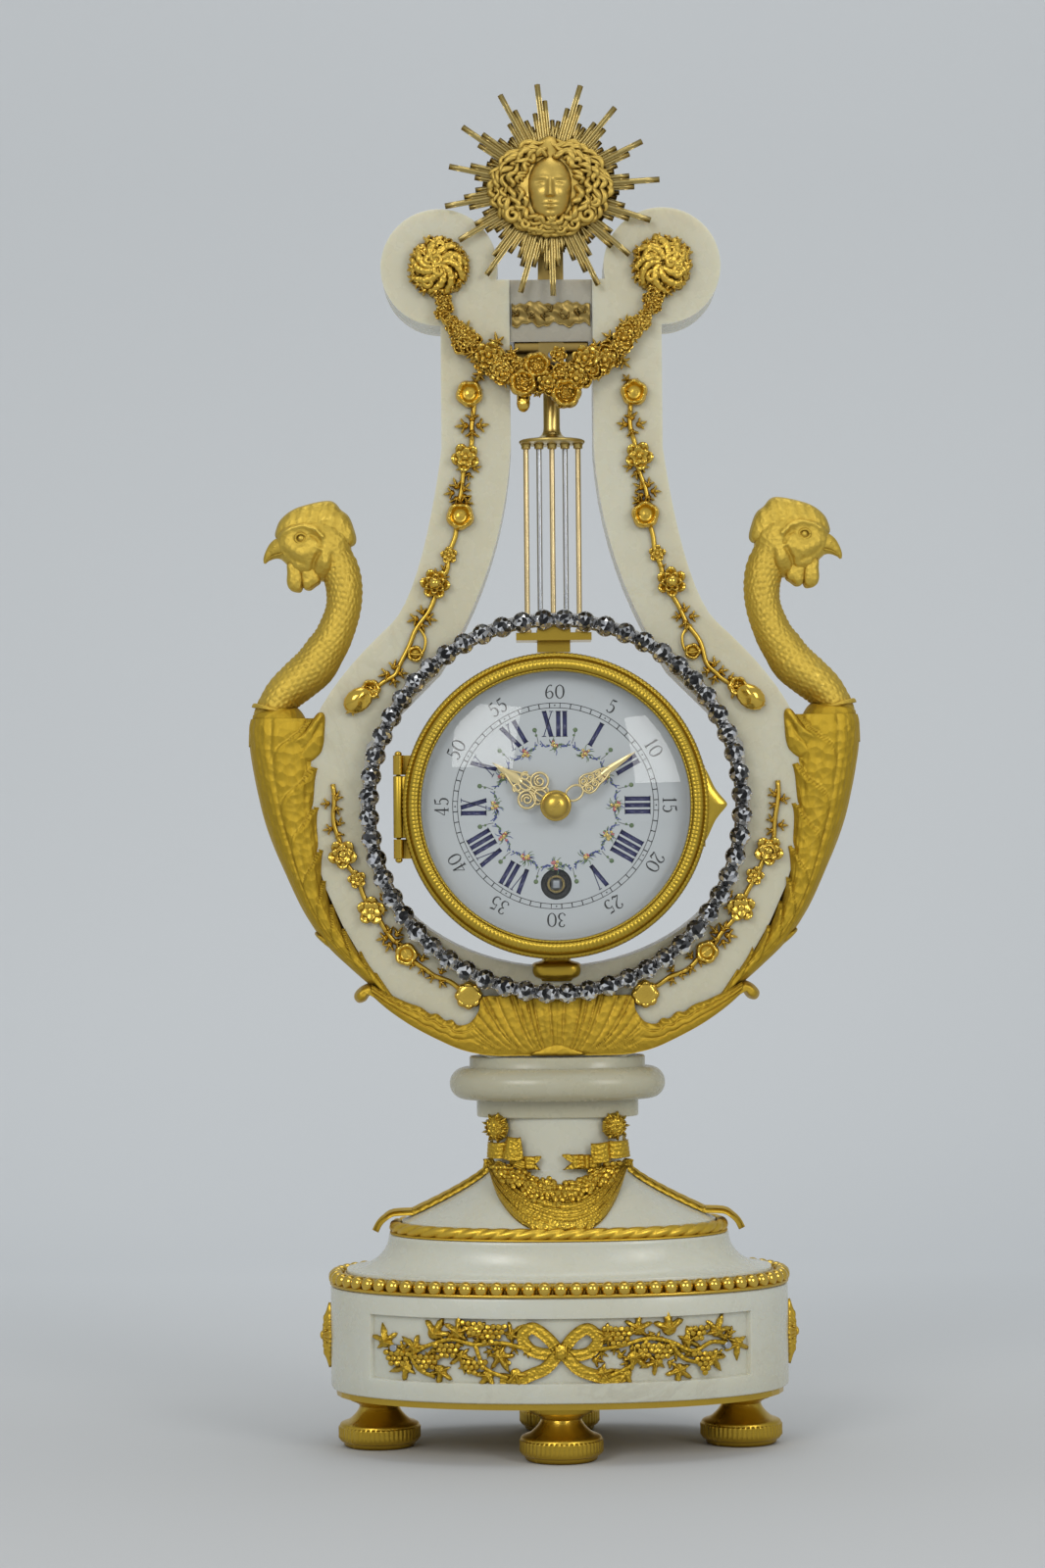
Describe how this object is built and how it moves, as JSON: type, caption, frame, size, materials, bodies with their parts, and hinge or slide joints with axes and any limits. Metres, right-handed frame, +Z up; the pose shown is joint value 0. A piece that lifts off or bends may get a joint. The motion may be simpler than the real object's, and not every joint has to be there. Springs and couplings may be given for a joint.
{
  "type": "lyre mantel clock",
  "caption": "White marble lyre clock on an oval pedestal with gilt mounts, sunburst crest, cock heads and a jewelled ring pendulum swinging round an enamel dial.",
  "frame": {"origin": "on the shelf under the middle of the base", "axes": "+X to the right seen from the front, -Y towards the viewer, +Z up"},
  "size_m": [0.198, 0.0928, 0.4297],
  "materials": {
    "gilt_bronze": "matte mercury gilding with burnished highlights",
    "white_marble": "polished white marble with faint veins",
    "alabaster": "polished translucent warm white marble",
    "steel": "polished steel",
    "brass": "lacquered brass",
    "silvered_setting": "silvered metal, slightly tarnished",
    "paste_stone": "faceted clear paste",
    "clear_glass": "clear polished glass",
    "white_enamel": "glossy white enamel with plain painted numerals"
  },
  "bodies": {
    "base": {"feet": "gilt_bronze", "base_plate": "gilt_bronze", "plinth": "white_marble", "plinth_bead_band": "gilt_bronze", "plinth_cap": "white_marble", "rope_band": "gilt_bronze", "pedestal": "white_marble", "capital": "white_marble", "tie_rod": "steel", "tie_nut": "steel", "frieze_mount": "gilt_bronze", "frieze_screws": "steel", "end_lozenges": "gilt_bronze", "pedestal_swag": "gilt_bronze", "pedestal_straps": "gilt_bronze", "lyre_frame": "alabaster", "crossbar": "alabaster", "acanthus_base": "gilt_bronze", "sheath_left": "gilt_bronze", "sheath_right": "gilt_bronze", "cock_left": "gilt_bronze", "cock_right": "gilt_bronze", "rosettes": "gilt_bronze", "top_garland": "gilt_bronze", "vine_trails": "gilt_bronze", "crossbar_mount": "gilt_bronze", "sun_rays": "brass", "sun_mask": "gilt_bronze", "sun_post": "brass", "suspension_cock": "brass", "drum": "gilt_bronze", "hinge_pins": "gilt_bronze", "drum_bracket": "gilt_bronze", "dial": "white_enamel", "front_plate": "brass", "rear_plate": "brass", "plate_pillars": "brass"},
    "pendulum": {"suspension_spring": "steel", "gridiron_head": "brass", "brass_rods": "brass", "steel_rods": "steel", "gridiron_foot": "brass", "ring_frame": "silvered_setting", "ring_stones": "paste_stone"},
    "crutch": {"pallet_crutch": "steel"},
    "center_train": {"center_arbor": "brass", "cannon_pinion": "brass", "minute_hand": "gilt_bronze", "hand_nut": "gilt_bronze"},
    "hour_train": {"hour_wheel": "brass", "hour_hand": "gilt_bronze"},
    "minute_work": {"minute_wheel": "brass"},
    "third_train": {"third_arbor": "brass"},
    "escape_train": {"escape_arbor": "brass"},
    "mid_train": {"mid_arbor": "brass"},
    "barrel_train": {"barrel": "brass"},
    "winder": {"winding_arbor": "steel"},
    "bezel_door": {"bezel": "gilt_bronze", "glass": "clear_glass"},
    "back_door": {"rear_door": "gilt_bronze"}
  },
  "joints": [
    {"name": "pendulum_swing", "type": "hinge", "parent": "base", "child": "pendulum", "pos_m": [0, -0.004, 0.343], "axis": [0, 1, 0], "range_deg": [-2, 2]},
    {"name": "crutch_swing", "type": "hinge", "parent": "base", "child": "crutch", "pos_m": [0, -0.004, 0.234], "axis": [0, 1, 0], "range_deg": [-11.2, 11.2]},
    {"name": "hands_turn", "type": "hinge", "parent": "base", "child": "center_train", "pos_m": [0, 0, 0.201], "axis": [0, 1, 0], "continuous": true},
    {"name": "hour_hand_turn", "type": "hinge", "parent": "base", "child": "hour_train", "pos_m": [0, 0, 0.201], "axis": [0, 1, 0], "continuous": true},
    {"name": "minute_wheel_turn", "type": "hinge", "parent": "base", "child": "minute_work", "pos_m": [0.00848, 0, 0.20949], "axis": [0, 1, 0], "continuous": true},
    {"name": "third_wheel_turn", "type": "hinge", "parent": "base", "child": "third_train", "pos_m": [0.01475, 0, 0.21075], "axis": [0, 1, 0], "continuous": true},
    {"name": "escape_wheel_turn", "type": "hinge", "parent": "base", "child": "escape_train", "pos_m": [0, 0, 0.2205], "axis": [0, 1, 0], "continuous": true},
    {"name": "mid_wheel_turn", "type": "hinge", "parent": "base", "child": "mid_train", "pos_m": [-0.0142, 0, 0.18962], "axis": [0, 1, 0], "continuous": true},
    {"name": "barrel_turn", "type": "hinge", "parent": "base", "child": "barrel_train", "pos_m": [0, 0, 0.1767], "axis": [0, 1, 0], "continuous": true},
    {"name": "winding_turn", "type": "hinge", "parent": "base", "child": "winder", "pos_m": [0, 0, 0.1767], "axis": [0, 1, 0], "continuous": true},
    {"name": "bezel_hinge", "type": "hinge", "parent": "base", "child": "bezel_door", "pos_m": [-0.0486, -0.0263, 0.201], "axis": [0, 0, -1], "range_deg": [0, 110]},
    {"name": "rear_door_hinge", "type": "hinge", "parent": "base", "child": "back_door", "pos_m": [0.0466, 0.0192, 0.201], "axis": [0, 0, -1], "range_deg": [0, 110]}
  ],
  "couplings": [
    {"joint": "crutch_swing", "follows": "pendulum_swing", "ratio": -5.5075},
    {"joint": "hour_hand_turn", "follows": "hands_turn", "ratio": 0.083333},
    {"joint": "minute_wheel_turn", "follows": "hands_turn", "ratio": -0.33333},
    {"joint": "third_wheel_turn", "follows": "hands_turn", "ratio": -12},
    {"joint": "escape_wheel_turn", "follows": "hands_turn", "ratio": 144},
    {"joint": "mid_wheel_turn", "follows": "hands_turn", "ratio": -0.16667},
    {"joint": "barrel_turn", "follows": "hands_turn", "ratio": 0.02381}
  ]
}
